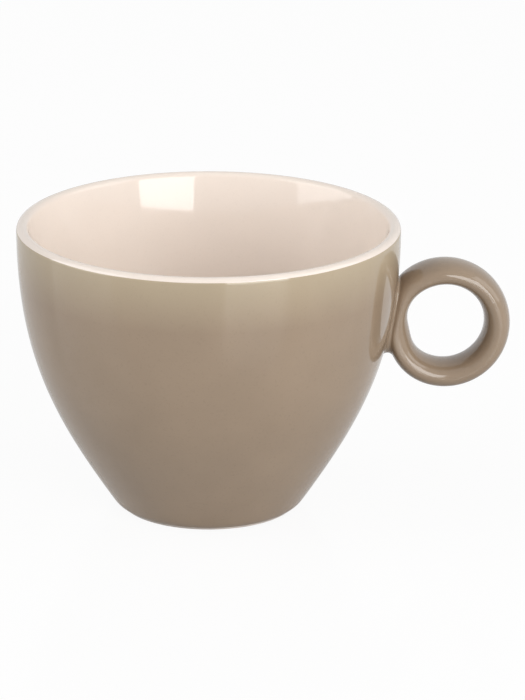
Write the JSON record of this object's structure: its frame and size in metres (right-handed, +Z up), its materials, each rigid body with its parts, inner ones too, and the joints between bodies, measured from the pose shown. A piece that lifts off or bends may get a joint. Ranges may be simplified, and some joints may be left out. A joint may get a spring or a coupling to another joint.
{
  "type": "cappuccino cup",
  "caption": "Round glazed porcelain cup with a flared bowl, a low foot ring and a closed finger ring as its handle, for serving cappuccino.",
  "frame": {"origin": "centre of the foot ring, on the surface that the cup stands on", "axes": "+Z up along the cup's axis, +X from the axis towards the ring handle"},
  "size_m": [0.1135, 0.088, 0.0674],
  "materials": {
    "porcelain": "white porcelain body under the glaze",
    "bare_foot": "bare fired porcelain, wiped and polished",
    "cream_glaze": "glossy pale cream glaze",
    "taupe_glaze": "glossy taupe glaze",
    "clear_glaze": "clear glaze over white porcelain"
  },
  "bodies": {
    "root": {"cup_body": "porcelain", "foot_ring": "bare_foot", "handle_ring": "porcelain", "handle_joint": "porcelain", "inner_glaze": "cream_glaze", "outer_glaze": "taupe_glaze", "handle_glaze": "taupe_glaze", "base_glaze": "clear_glaze"}
  },
  "joints": []
}
